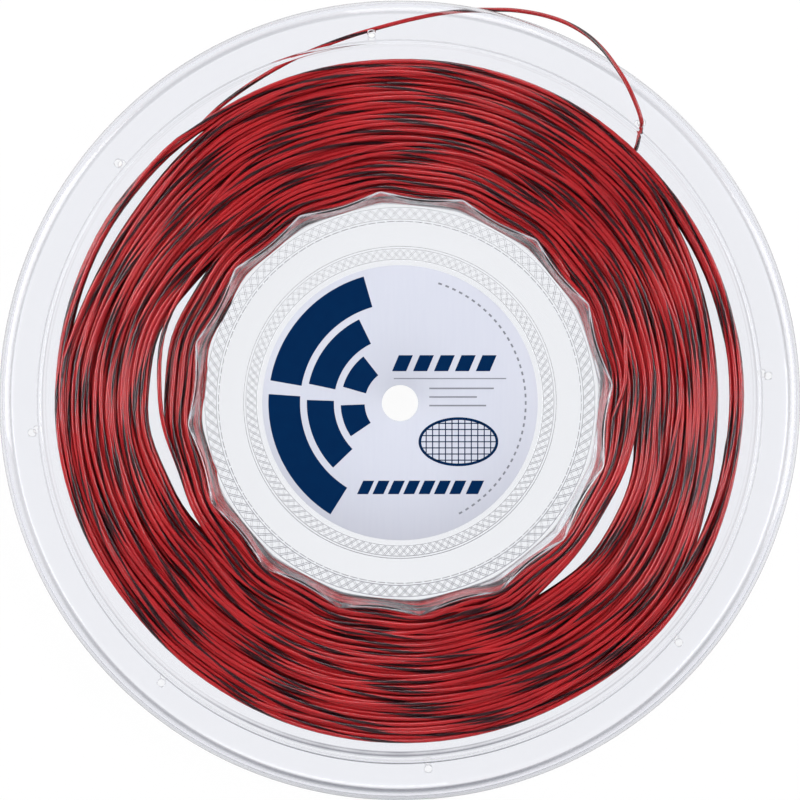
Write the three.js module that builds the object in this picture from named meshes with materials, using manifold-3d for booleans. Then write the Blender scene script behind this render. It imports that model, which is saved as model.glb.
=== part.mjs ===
// A clear two-shell reel of tennis string, lying on its back flange with the label up.
// Millimetres, +Z along the reel's axis, origin on the resting surface under the centre.
import * as THREE from "three";
import Module from "manifold-3d";

// ---- driving dimensions -------------------------------------------------------------------
const REEL_R = 130; // outer edge of the rim
const INNER_WIDTH = 16.4; // room for the string between the flanges
const SHEET = 0.7; // thickness of the formed sheet
const STRING_D = 1.3; // the string itself, 16 gauge
const GAP = 0.3; // kept between neighbouring pieces
const HALF = INNER_WIDTH / 2 + SHEET; // from the weld plane to a flange's outside
const STRING_R = STRING_D / 2;

// Hub: a flat floor with a spindle hole, welded to the other shell's floor along two rings.
const SPINDLE_R = 5.9;
const FLOOR_H = GAP / 2 + SHEET; // outside of the floor above the weld plane
const FLOOR_EDGE_R = 64.4;
const LABEL_R = 44.8;
const WELD_RINGS = [
  [LABEL_R + 1.6, LABEL_R + 6.4],
  [FLOOR_EDGE_R - 4.8, FLOOR_EDGE_R - 0.8],
];
const WELD_DEPTH = 0.25;
const WELD_BEVEL = 0.4;

// Core wall: drafted, with sharp flutes that point outwards and stiffen it.
const WALL_DRAFT = 1.5; // how much wider the wall is at the flange than at the floor
const WALL_TOP_R = FLOOR_EDGE_R + WALL_DRAFT;
const FLUTES = 16;
const FLUTE_PHASE = 5.5; // degrees from +X to the first flute's crest
const FLUTE_FOOT = 0.8; // depth at the floor
const FLUTE_TOP = 2.5; // depth at the flange
const FLUTE_COLUMNS = [-8, -3, 0, 3, 8]; // degrees either side of a crest

// Rim: a step down from the flange, a flat band with string holes, and a lip that curls inwards.
const LIP_RUN = 4.8;
const BAND_WIDTH = 7.6;
const BAND_R = REEL_R - LIP_RUN; // where the band ends and the lip begins
const STEP_R = BAND_R - BAND_WIDTH;
const STEP_RUN = 1.4;
const STEP_DROP = 1.1;
const LIP_END_H = 3.4; // where the lip has turned square to the flange
const LIP_STEPS = 3;
const SLIT = 2.0; // between the two lips, where the string runs out
const HOLES = 8;
const HOLE_R = 1.2;
const HOLE_CIRCLE_R = STEP_R + 1.7;
const HOLE_PHASE = 4.4; // degrees
const HOLE_SIDES = 12;

// Label in the front recess.
const LABEL_T = 0.3;
const LABEL_SEGMENTS = 48;

// Winding: the outer layer is one unbroken string that climbs the core's rim, rounds its edge
// and spirals in across the front face.
const CHANNEL = 6.8; // free room between the winding and the step
const WOUND_R = STEP_R - CHANNEL; // outside of the winding
const LOOP_STEPS = 24;
const STRING_SIDES = 6;
const WOUND_STEPS = 569; // 23.7 turns, from the tail's start to the inner end
const WOUND_START = 122; // degrees, where the tail leaves
const TURN_R = WOUND_R - STRING_R; // middle of a turn on the rim
const TURN_H = HALF - SHEET - GAP - STRING_R; // middle of a turn on the front face
const LOWEST_TURN_H = 0.25 - TURN_H;
const CLEAR = STRING_R + GAP; // from the core's surface to the middle of a turn
const CORE_R = TURN_R - CLEAR;
const CORE_TOP_H = TURN_H - CLEAR;
const CORE_BOTTOM_H = SHEET + GAP - HALF;
const CREST_R = WALL_TOP_R + FLUTE_TOP + SHEET; // the flutes' crests, against the string
const CORE_INNER_R = (CREST_R + 2 * GAP) / Math.cos(Math.PI / LOOP_STEPS);
const WOUND_INNER_R = CORE_INNER_R + CLEAR + STRING_R; // middle of the innermost front turn

// Free tail: out of the winding, through the slit, round outside the rim, over the front band and
// back in through a string hole. Each point is degrees, distance outside the rim's edge and
// height above the weld plane.
const TAIL_SIDES = 8;
const TAIL_STEPS = 80;
const TAIL_ROUTE = [
  [121.17, -19.84, -7],
  [118.6, -19.6, -7],
  [113, -18.2, -6.6],
  [107.5, -15.4, -4.6],
  [102.3, -12.6, -2.9],
  [97, -10, -1.7],
  [91.4, -7.4, -0.8],
  [87, -5.1, -0.25],
  [83.5, -3, 0],
  [80, -1, 0],
  [77, 0.6, 0],
  [74, 2.2, 0.5],
  [70, 3.6, 1.6],
  [66.5, 4, 3.2],
  [63.2, 3.2, 5.2],
  [60.4, 1.4, 7.4],
  [57.8, -1, 9],
  [55.2, -3.6, 9.9],
  [52.8, -6.4, 10.2],
  [50.9, -8.7, 9.9],
  [49.7, -10.3, 8.9],
  [49.4, -10.7, 7.45],
  [49.2, -11.1, 6],
  [48.7, -12.5, 4.9],
  [48.2, -14.5, 4.4],
  [47.6, -16.5, 4.2],
  [47.2, -18.3, 4.1],
];

// ---- materials ----------------------------------------------------------------------------
const clearSheet = () =>
  new THREE.MeshStandardMaterial({
    color: 0xe9edf6,
    roughness: 0.12,
    metalness: 0,
    transparent: true,
    opacity: 0.35,
  });
const satinPaper = () => new THREE.MeshStandardMaterial({ color: 0xd5d9e6, roughness: 0.45, metalness: 0 });
const redString = () => new THREE.MeshStandardMaterial({ color: 0xad2530, roughness: 0.3, metalness: 0 });

// ---- helpers ------------------------------------------------------------------------------
// A point on the row's axes from degrees, radius and height above the weld plane.
function polar(degrees, radius, height) {
  const angle = THREE.MathUtils.degToRad(degrees);
  return new THREE.Vector3(radius * Math.cos(angle), radius * Math.sin(angle), HALF + height);
}

// An indexed geometry from points and triangles.
function geometryOf(points, triangles) {
  const geometry = new THREE.BufferGeometry();
  const flat = points.flatMap((p) => [p.x, p.y, p.z]);
  geometry.setAttribute("position", new THREE.Float32BufferAttribute(flat, 3));
  geometry.setIndex(triangles);
  geometry.computeVertexNormals();
  return geometry;
}

// Triangles between rings of equally many points, and back to the first ring where closed.
function ringTriangles(rings, sides, closed) {
  const triangles = [];
  const spans = closed ? rings : rings - 1;
  for (let ring = 0; ring < spans; ring += 1) {
    const here = ring * sides;
    const next = ((ring + 1) % rings) * sides;
    for (let side = 0; side < sides; side += 1) {
      const after = (side + 1) % sides;
      triangles.push(here + side, here + after, next + side);
      triangles.push(here + after, next + after, next + side);
    }
  }
  return triangles;
}

function named(name, geometry, material) {
  const mesh = new THREE.Mesh(geometry, material);
  mesh.name = name;
  return mesh;
}

// ---- shells -------------------------------------------------------------------------------
// How much of a flute's depth the wall has at this angle: 1 on a crest, falling in two hollows.
function fluteShare(degrees) {
  const fromCrest = THREE.MathUtils.degToRad(degrees - FLUTE_PHASE);
  return 1 - Math.abs(Math.sin((FLUTES / 2) * fromCrest));
}

// One face of a shell from the spindle hole to the lip's edge, as radius, height and flute
// depth. An inset of 0 is the outside, and of SHEET the side against the string.
function shellFace(inset) {
  const face = [{ r: SPINDLE_R, h: FLOOR_H - inset }];
  if (inset === 0) {
    for (const [from, to] of WELD_RINGS) {
      face.push({ r: from, h: FLOOR_H });
      face.push({ r: from + WELD_BEVEL, h: FLOOR_H - WELD_DEPTH });
      face.push({ r: to - WELD_BEVEL, h: FLOOR_H - WELD_DEPTH });
      face.push({ r: to, h: FLOOR_H });
    }
  }
  face.push({ r: FLOOR_EDGE_R + inset, h: FLOOR_H - inset, flute: FLUTE_FOOT });
  face.push({ r: WALL_TOP_R + inset, h: HALF - inset, flute: FLUTE_TOP });
  face.push({ r: STEP_R - STEP_RUN - inset / 2, h: HALF - inset });
  face.push({ r: STEP_R - inset / 2, h: HALF - STEP_DROP - inset });
  const bandH = HALF - STEP_DROP - inset;
  for (let step = 0; step <= LIP_STEPS; step += 1) {
    const turn = ((Math.PI / 2) * step) / LIP_STEPS;
    const r = BAND_R + (REEL_R - inset - BAND_R) * Math.sin(turn);
    face.push({ r, h: LIP_END_H + (bandH - LIP_END_H) * Math.cos(turn) });
  }
  face.push({ r: REEL_R - inset, h: SLIT / 2 });
  return face;
}

// The shell's closed section carried round the axis. side is 1 for the front, -1 for the back.
function shellGeometry(side) {
  const section = [...shellFace(0), ...shellFace(SHEET).reverse()];
  const columns = [];
  for (let flute = 0; flute < FLUTES; flute += 1) {
    const crest = FLUTE_PHASE + (360 / FLUTES) * flute;
    columns.push(...FLUTE_COLUMNS.map((offset) => crest + offset));
  }
  const points = columns.flatMap((degrees) =>
    section.map(({ r, h, flute = 0 }) => polar(degrees, r + flute * fluteShare(degrees), side * h)),
  );
  const triangles = ringTriangles(columns.length, section.length, true);
  return geometryOf(points, side > 0 ? triangles : triangles.reverse());
}

const wasm = await Module();
wasm.setup();

function solidOf(geometry) {
  const vertProperties = new Float32Array(geometry.attributes.position.array);
  const triVerts = new Uint32Array(geometry.index.array);
  return new wasm.Manifold(new wasm.Mesh({ numProp: 3, vertProperties, triVerts }));
}

function geometryFrom(solid) {
  const { vertProperties, triVerts } = solid.getMesh();
  const geometry = new THREE.BufferGeometry();
  geometry.setAttribute("position", new THREE.BufferAttribute(vertProperties, 3));
  geometry.setIndex(new THREE.BufferAttribute(triVerts, 1));
  geometry.computeVertexNormals();
  return geometry;
}

// A closed prism that punches one string hole through the band.
function holePunch(degrees, side) {
  const height = 4 * SHEET;
  const points = [];
  for (const end of [-1, 1]) {
    for (let corner = 0; corner < HOLE_SIDES; corner += 1) {
      const turn = (2 * Math.PI * corner) / HOLE_SIDES;
      const at = polar(degrees, HOLE_CIRCLE_R, side * (HALF - STEP_DROP - SHEET / 2));
      const out = new THREE.Vector3(HOLE_R * Math.cos(turn), HOLE_R * Math.sin(turn), (end * height) / 2);
      points.push(at.add(out));
    }
  }
  const triangles = ringTriangles(2, HOLE_SIDES, false);
  for (let corner = 1; corner < HOLE_SIDES - 1; corner += 1) {
    triangles.push(0, corner + 1, corner);
    triangles.push(HOLE_SIDES, HOLE_SIDES + corner, HOLE_SIDES + corner + 1);
  }
  return solidOf(geometryOf(points, triangles));
}

function shell(name, side) {
  let solid = solidOf(shellGeometry(side));
  for (let hole = 0; hole < HOLES; hole += 1) {
    solid = solid.subtract(holePunch(HOLE_PHASE + (360 / HOLES) * hole, side));
  }
  return named(name, geometryFrom(solid), clearSheet());
}

// ---- label --------------------------------------------------------------------------------
function hubLabel() {
  const disc = new THREE.Shape().absarc(0, 0, LABEL_R, 0, 2 * Math.PI);
  disc.holes.push(new THREE.Path().absarc(0, 0, SPINDLE_R, 0, 2 * Math.PI, true));
  const geometry = new THREE.ExtrudeGeometry(disc, {
    depth: LABEL_T,
    bevelEnabled: false,
    curveSegments: LABEL_SEGMENTS,
  });
  const label = named("hub_label", geometry, satinPaper());
  label.position.z = HALF + FLOOR_H + GAP;
  return label;
}

// ---- winding ------------------------------------------------------------------------------
// The body of the winding: a plain ring whose corners lie where the outer layer's steps do.
function windingCore() {
  const profile = [
    [CORE_INNER_R, CORE_BOTTOM_H],
    [CORE_R, CORE_BOTTOM_H],
    [CORE_R, CORE_TOP_H],
    [CORE_INNER_R, CORE_TOP_H],
  ];
  const points = [];
  for (let step = 0; step < LOOP_STEPS; step += 1) {
    const degrees = WOUND_START + (360 / LOOP_STEPS) * step;
    points.push(...profile.map(([r, h]) => polar(degrees, r, h)));
  }
  const triangles = ringTriangles(LOOP_STEPS, profile.length, true);
  return named("winding_core", geometryOf(points, triangles.reverse()), redString());
}

// Radius and height of the outer layer at a distance along its way over the core: up the rim,
// round the edge and in across the front.
function layerPlace(distance) {
  const climb = CORE_TOP_H - LOWEST_TURN_H;
  const bend = (Math.PI / 2) * CLEAR;
  if (distance < climb) {
    return { r: TURN_R, h: LOWEST_TURN_H + distance };
  }
  if (distance < climb + bend) {
    const turn = (distance - climb) / CLEAR;
    return { r: CORE_R + CLEAR * Math.cos(turn), h: CORE_TOP_H + CLEAR * Math.sin(turn) };
  }
  return { r: CORE_R - (distance - climb - bend), h: TURN_H };
}

// The middle of the wound string, one point for each step, with a straight length at each end.
function woundLine() {
  const way = CORE_TOP_H - LOWEST_TURN_H + (Math.PI / 2) * CLEAR + CORE_R - WOUND_INNER_R;
  const stations = [];
  for (let step = 0; step <= WOUND_STEPS; step += 1) {
    const degrees = WOUND_START + (360 / LOOP_STEPS) * step;
    const { r, h } = layerPlace((way * step) / WOUND_STEPS);
    stations.push({ at: polar(degrees, r, h), degrees });
  }
  const [first] = stations;
  const last = stations[stations.length - 1];
  const along = ({ degrees }) => polar(degrees + 90, 1, -HALF);
  const before = first.at.clone().addScaledVector(along(first), -STRING_D);
  const after = last.at.clone().addScaledVector(along(last), STRING_D);
  return [{ at: before, degrees: first.degrees }, ...stations, { at: after, degrees: last.degrees }];
}

function stringTurns(line) {
  const points = [];
  for (const { at, degrees } of line) {
    const outward = polar(degrees, 1, -HALF);
    for (let side = 0; side < STRING_SIDES; side += 1) {
      const turn = (2 * Math.PI * (side + 0.5)) / STRING_SIDES;
      const point = at.clone().addScaledVector(outward, STRING_R * Math.cos(turn));
      point.z += STRING_R * Math.sin(turn);
      points.push(point);
    }
  }
  const triangles = ringTriangles(line.length, STRING_SIDES, false);
  const lastRing = (line.length - 1) * STRING_SIDES;
  for (let side = 1; side < STRING_SIDES - 1; side += 1) {
    triangles.push(0, side + 1, side);
    triangles.push(lastRing, lastRing + side, lastRing + side + 1);
  }
  return named("string_turns", geometryOf(points, triangles.reverse()), redString());
}

// The least gap between two turns: between points at least half a turn apart along the string.
function leastGap(line) {
  let least = Infinity;
  for (let a = 0; a < line.length; a += 1) {
    for (let b = a + LOOP_STEPS / 2; b < line.length; b += 1) {
      least = Math.min(least, line[a].at.distanceTo(line[b].at));
    }
  }
  return least - STRING_D;
}

// ---- free tail ----------------------------------------------------------------------------
function stringTail() {
  const points = TAIL_ROUTE.map(([degrees, outside, h]) => polar(degrees, REEL_R + outside, h));
  const route = new THREE.CatmullRomCurve3(points);
  const corners = [];
  for (let side = 0; side < TAIL_SIDES; side += 1) {
    const turn = (2 * Math.PI * side) / TAIL_SIDES;
    corners.push(new THREE.Vector2(STRING_R * Math.cos(turn), STRING_R * Math.sin(turn)));
  }
  const section = new THREE.Shape(corners);
  const geometry = new THREE.ExtrudeGeometry(section, { steps: TAIL_STEPS, extrudePath: route });
  console.log(`tail length ${route.getLength().toFixed(1)} mm`);
  return named("string_tail", geometry, redString());
}

// ---- assembly -----------------------------------------------------------------------------
const wound = woundLine();
console.log(`least gap between turns ${leastGap(wound).toFixed(2)} mm`);

const reel = new THREE.Group();
reel.name = "string_reel";
reel.add(shell("front_shell", 1));
reel.add(shell("back_shell", -1));
reel.add(hubLabel());
reel.add(windingCore());
reel.add(stringTurns(wound));
reel.add(stringTail());

export default reel;
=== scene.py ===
"""A clear two-shell reel of red and black tennis string, seen from above its labelled front.

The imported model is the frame: metres, +Z along the reel's axis, origin on the resting surface.
Sections follow the reel as it is put together: the wound string, its free tail, the two clear
shells, their welds, the label, and then the studio.
"""
import math

import bpy
import numpy as np
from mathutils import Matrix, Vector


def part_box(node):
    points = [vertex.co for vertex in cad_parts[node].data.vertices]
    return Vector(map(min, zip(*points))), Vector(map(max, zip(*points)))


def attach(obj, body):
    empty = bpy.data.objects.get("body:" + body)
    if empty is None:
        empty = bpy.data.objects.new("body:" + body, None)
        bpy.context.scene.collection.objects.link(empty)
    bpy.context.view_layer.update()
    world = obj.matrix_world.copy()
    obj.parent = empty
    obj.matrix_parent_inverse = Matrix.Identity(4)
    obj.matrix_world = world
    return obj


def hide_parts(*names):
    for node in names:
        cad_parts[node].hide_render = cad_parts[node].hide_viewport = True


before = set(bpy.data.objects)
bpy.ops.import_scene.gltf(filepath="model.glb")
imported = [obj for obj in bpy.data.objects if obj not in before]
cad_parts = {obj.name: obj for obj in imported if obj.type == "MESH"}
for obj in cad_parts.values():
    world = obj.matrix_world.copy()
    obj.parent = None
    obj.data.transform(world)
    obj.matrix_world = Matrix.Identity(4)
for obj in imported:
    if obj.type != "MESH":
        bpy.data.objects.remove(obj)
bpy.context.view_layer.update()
scene = bpy.context.scene

# ---- the wound string ------------------------------------------------------------------------
# 200 m of 1.30 mm nylon string, wound evenly across the core and outwards, layer on layer.
# It is one length. A turn keeps its place across the reel until it steps over to the next one.
MM = 0.001
FULL_TURN = 2 * np.pi
STRING_R = 0.72 * MM  # to the corners of an eight-sided tube
WELD_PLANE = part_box("front_shell")[1][2] / 2  # height of the plane between the two shells
LAYERS = 16  # turns side by side across the reel
SHELLS_OF_TURNS = 23  # turns on top of each other
TURNS_R = (69.9 * MM, 110.15 * MM)  # middle of the first and the last turns
TURNS_H = (-7.25 * MM, 6.6 * MM)  # of the layers at the back and at the front
STEPS_PER_TURN = 120
TUBE_SIDES = 8
STEP_OVER = 0.05  # of a turn, taken to move to the next place
SLACK = 0.048  # most of a turn by which a place ends before it has gone right round
FRONT_SCATTER = 0.26 * MM  # spread of the front turns' radii, and of those behind them
SCATTER = 0.10 * MM
HEIGHT_SCATTER = (-0.30 * MM, 0.12 * MM)
SWAYS = [(2, 0.22 * MM), (3, 0.16 * MM), (5, 0.08 * MM)]  # waves of each turn: order and size
CRESTS = 16
CREST_PHASE = math.radians(5.5)
CREST_FLAT = 1.2 * MM  # how far the first turns sink in between two crests
WAIST = (3.7 * MM, 2.6 * MM)  # and to the core's waist: in the middle, and less at the flanges
FLAT_FADE = 9 * MM  # how far outwards the flats, the waist and the lift at the core fade
WAIST_FADE = 7 * MM
LIFT_FADE = 5 * MM
ENDING = (0.16, 0.15)  # turns from the end where the string bends to the tail, and how many long
TAIL_START = (130.0, 110.15 * MM, -7.0 * MM)  # degrees, radius, height, where the tail begins
VIEW_LEAN = (-0.008, 0.061)  # how far the line of sight leans for each unit of height
VIEW_DISTANCE = 0.95  # metres from the camera to the reel
rng = np.random.default_rng(16)  # the winding's small chances are the same in every run

# Slow waves that neighbouring turns share: order round the reel, size, turn, and twist from the
# core to the edge.
WAVES = [
    (2, 0.30 * MM, 0.4, 3.0),
    (3, 0.30 * MM, 2.1, -5.0),
    (5, 0.24 * MM, 4.0, 7.0),
    (7, 0.12 * MM, 1.0, -11.0),
    (4, 0.26 * MM, 5.1, 31.0),
    (3, 0.26 * MM, 0.3, -43.0),
    (5, 0.20 * MM, 2.3, 58.0),
]
# Places where the turns have parted and daylight shows through: first and last degrees, the
# radius there in millimetres, the widest opening and the share of it that moves outwards.
PARTINGS = [
    (-36.0, 40.5, 104.9, 106.6, 4.8, 0.45),
    (122.0, 172.5, 108.3, 106.9, 4.2, 0.5),
    (140.5, 218.5, 79.6, 78.0, 7.0, 0.75),
    (299.0, 354.0, 76.2, 77.3, 5.1, 0.75),
]
PART_REACH = (22 * MM, 14 * MM, 9 * MM)  # of the push outwards, of that inwards, of the slant
# How far the winding's outer edge and its inner edge are from round: degrees and millimetres.
EDGE = [(0, 0.0), (30, 0.1), (60, 0.6), (92, -0.2), (110, 0.0), (150, 0.0), (185, -0.6)]
EDGE += [(210, -0.9), (240, -0.7), (270, -0.6), (300, 0.0), (320, 0.6), (340, -0.1), (360, 0.0)]
LIFT = [(0, 0.5), (12, 1.0), (30, 0.4), (55, 0.0), (285, 0.0), (303, 1.2), (315, 2.4), (332, 2.5)]
LIFT += [(347, 1.3), (360, 0.5)]
# Turns of the front layer that stray over their neighbours: place, middle in degrees, half the
# length in degrees and how far out.
STRAYS = [
    (3, 160, 40, 3.6),
    (4, 252, 38, -2.8),
    (5, 70, 46, 3.4),
    (6, 205, 34, -3.4),
    (7, 305, 42, 3.4),
    (8, 120, 50, -3.2),
    (10, 20, 44, 3.6),
    (11, 235, 48, 3.4),
    (12, 150, 36, -3.6),
    (13, 320, 50, 3.4),
    (14, 80, 44, -3.4),
    (15, 190, 52, 3.6),
    (17, 275, 40, -3.4),
    (18, 60, 46, -3.2),
    (19, 105, 50, 3.2),
    (20, 225, 44, -3.2),
    (21, 320, 40, -2.8),
]
STRAY_LIFT = 0.95 * MM
# The innermost turn of the front layer climbs outwards over the others and dives under them:
# first and last degrees of the climb, and how far outwards. It is back in its own place some
# degrees past the last one, and no longer under the others some more past it.
CLIMB = (-4.0, 18.3, 6.3)
CLIMB_END = 15.0
DIVE_END = 24.0
CLIMB_LIFT = 1.0 * MM
DIVE = 2.6 * MM


def smooth(x):
    """0 below 0 and 1 above 1, with an S-curve between them."""
    x = np.clip(x, 0.0, 1.0)
    return x * x * (3.0 - 2.0 * x)


def bump(x):
    """1 at 0, falling to 0 at -1 and 1 as a raised cosine."""
    return np.where(np.abs(x) < 1.0, 0.5 + 0.5 * np.cos(np.pi * np.clip(x, -1.0, 1.0)), 0.0)


def degrees_from(angle, middle):
    """How far an angle is from a middle, in degrees from -180 to 180."""
    return (np.degrees(angle) - middle + 180.0) % 360.0 - 180.0


def round_points(radius, angle, height):
    """Points at a radius and an angle round the axis, and at a height above the weld plane."""
    x, y = radius * np.cos(angle), radius * np.sin(angle)
    return np.stack([x, y, np.broadcast_to(WELD_PLANE + height, x.shape)], axis=-1)


def part_turns(radius, angle, height, turn, starts, pitch):
    """Moves the turns before a chosen one inwards and those after it outwards, each by a share
    of the opening that falls off with distance from it. The place chosen is the one of the
    three nearest whose own step outwards lies farthest from the opening. Its sides slant with
    height along the line of sight, so that the opening shows through every layer."""
    reach_out, reach_in, reach_slant = PART_REACH
    moved = radius.copy()
    for first, last, r_first, r_last, width, outwards in PARTINGS:
        middle, half = (first + last) / 2, (last - first) / 2
        near = round(((r_first + r_last) / 2 * MM - TURNS_R[0]) / pitch - 0.75)
        near = min(near, SHELLS_OF_TURNS - 3)
        steps = [starts[(n + 1) * LAYERS] for n in (near - 1, near, near + 1)]
        apart = [abs(degrees_from(np.interp(at, turn, angle), middle)) for at in steps]
        pick = int(np.argmax(apart))
        line_at = TURNS_R[0] + pitch * (near - 1 + pick + 0.75)
        side = smooth((turn - steps[pick] + STEP_OVER) / STEP_OVER)
        along = degrees_from(angle, middle) / half
        window = np.clip(1.0 - along**2, 0.0, 1.0) ** 1.15
        away = np.abs(radius - line_at)
        out = side * outwards * np.exp(-away / reach_out)
        inwards = (1.0 - side) * (1.0 - outwards) * np.exp(-away / reach_in)
        line = (r_first + (r_last - r_first) * (np.clip(along, -1, 1) + 1) / 2) * MM
        lean = VIEW_LEAN[0] * np.cos(angle) + VIEW_LEAN[1] * np.sin(angle)
        sight = lean - radius / VIEW_DISTANCE
        shift = (line - line_at + height * sight) * np.exp(-away / reach_slant)
        moved += window * (shift + width * MM * (out - inwards))
    return moved


def settle(radius, angle, height):
    """Slow waves that neighbouring turns share, the winding's uneven edge, the flats that
    the first turns take between the core's crests, and the core's narrower waist."""
    depth = (radius - TURNS_R[0]) / (TURNS_R[1] - TURNS_R[0])
    waves = np.zeros_like(radius)
    for order, size, turn, twist in WAVES:
        waves += size * np.sin(order * angle + turn + twist * depth)
    edge = np.interp(np.degrees(angle) % 360.0, *np.array(EDGE).T) * MM
    lift = np.interp(np.degrees(angle) % 360.0, *np.array(LIFT).T) * MM
    flat = CREST_FLAT * np.sin(CRESTS / 2 * (angle - CREST_PHASE)) ** 2
    inner = np.exp(-(radius - TURNS_R[0]) / FLAT_FADE)
    waist = WAIST[0] - WAIST[1] * np.abs(height) / TURNS_H[1]
    radius = radius + lift * np.exp(-(radius - TURNS_R[0]) / LIFT_FADE)
    radius = radius - waist * np.exp(-(radius - TURNS_R[0]) / WAIST_FADE)
    return radius + waves * np.sin(np.pi * np.clip(depth, 0, 1)) + edge * depth**2 - flat * inner


def stray_turns(radius, height, angle, turn, front_starts):
    """Moves some turns of the front layer out over their neighbours, or in, and back again, each
    by a raised cosine over a stretch of its own turn."""
    for row, middle, half, away in STRAYS:
        begin = math.degrees(np.interp(front_starts[row], turn, angle))
        # The stray is moved along where it would run into its turn's own start or step.
        past = min(max((begin - middle) % 360.0, half + 4.0), 322.0 - half)
        stray = bump((np.degrees(angle) - begin + past) / half)
        radius = radius + away * MM * stray
        height = height + STRAY_LIFT * np.sqrt(stray)
    return radius, height


def climb_turn(radius, height, angle, turn, start):
    """Leads one turn evenly outwards on top of the others, then down under them and back."""
    foot, top, away = CLIMB
    inside = (turn > start) & (turn < start + 1.0 - STEP_OVER)
    past = degrees_from(angle, top)
    rising = np.clip(1.0 + past / (top - foot), 0.0, 1.0 + 3.0 / (top - foot)) ** 1.1
    climb = rising * smooth((CLIMB_END - past) / 12.0) * inside
    under = smooth(past / 3.5) * smooth((DIVE_END - past) / 9.0) * inside
    radius = radius + away * MM * climb
    height = height + CLIMB_LIFT * smooth(5.0 * climb) * (1.0 - under) - DIVE * under
    return radius, height


def wound_line():
    """The middle of the whole string as points, from the core outwards. Turn by turn it has a
    place across and out; between places it steps over in a short S, each a little earlier."""
    places = LAYERS * SHELLS_OF_TURNS
    number = np.arange(places)
    out, across = number // LAYERS, number % LAYERS
    across = np.where(out % 2 == 1, LAYERS - 1 - across, across)
    pitch_r = (TURNS_R[1] - TURNS_R[0]) / (SHELLS_OF_TURNS - 0.5)
    place_r = TURNS_R[0] + pitch_r * (out + 0.5 * (across % 2))
    place_h = TURNS_H[0] + (TURNS_H[1] - TURNS_H[0]) * across / (LAYERS - 1)
    front = across == LAYERS - 1
    place_r = place_r + rng.normal(0.0, 1.0, places) * np.where(front, FRONT_SCATTER, SCATTER)
    place_h = place_h + rng.uniform(*HEIGHT_SCATTER, places)
    starts = number - np.cumsum(rng.uniform(0.0, SLACK, places))
    starts -= starts[0]
    total = starts[-1] + 1.0
    turn = np.linspace(0.0, total, int(total * STEPS_PER_TURN))
    angle = math.radians(TAIL_START[0]) + FULL_TURN * (total - turn)

    here = np.searchsorted(starts, turn, side="right") - 1
    after = np.minimum(here + 1, places - 1)
    share = smooth((turn - (starts[after] - STEP_OVER)) / STEP_OVER)
    radius = place_r[here] + (place_r[after] - place_r[here]) * share
    height = place_h[here] + (place_h[after] - place_h[here]) * share

    phases = rng.uniform(0.0, FULL_TURN, (len(SWAYS), places))
    for (order, size), phase in zip(SWAYS, phases):
        radius = radius + size * np.sin(order * angle + phase[here])
    radius, height = stray_turns(radius, height, angle, turn, starts[front])
    radius, height = climb_turn(radius, height, angle, turn, starts[front][0])
    radius = settle(radius, angle, height)
    radius = part_turns(radius, angle, height, turn, starts, pitch_r)
    ending = smooth((turn - total + ENDING[0]) / ENDING[1])
    radius += (TAIL_START[1] - radius) * ending
    height += (TAIL_START[2] - height) * ending
    return round_points(radius, angle, height)


def tube_frame(line, upright=(0.0, 0.0, 1.0)):
    """Two unit vectors square to the line at each point, the first square to upright too."""
    along = np.gradient(line, axis=0)
    along /= np.linalg.norm(along, axis=1)[:, None]
    side = np.cross(along, np.asarray(upright))
    side /= np.linalg.norm(side, axis=1)[:, None]
    return side, np.cross(side, along)


def string_mesh(name, line, side, up, lengths, material):
    """A round tube along a line: the section's circle is carried from point to point on the two
    vectors, its ends are rounded shut, and its UV is once round against metres of string."""
    count = len(line)
    at = np.pad(np.arange(count), 2, mode="edge")  # each end's point serves its round too
    size = STRING_R * np.concatenate([[0.02, 0.75], np.ones(count), [0.75, 0.02]])
    shift = STRING_R * np.concatenate([[-0.30, -0.22], np.zeros(count), [0.22, 0.30]])
    middle = line[at] + np.cross(up, side)[at] * shift[:, None]
    turns = FULL_TURN * np.arange(TUBE_SIDES)[:, None] / TUBE_SIDES
    ring = side[at, None] * np.cos(turns) + up[at, None] * np.sin(turns)
    points = middle[:, None] + ring * size[:, None, None]
    uv = (np.arange(TUBE_SIDES + 1) / TUBE_SIDES, lengths[at])
    return grid_piece(name, points, material, uv=uv, close=True, flip=True)


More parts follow.
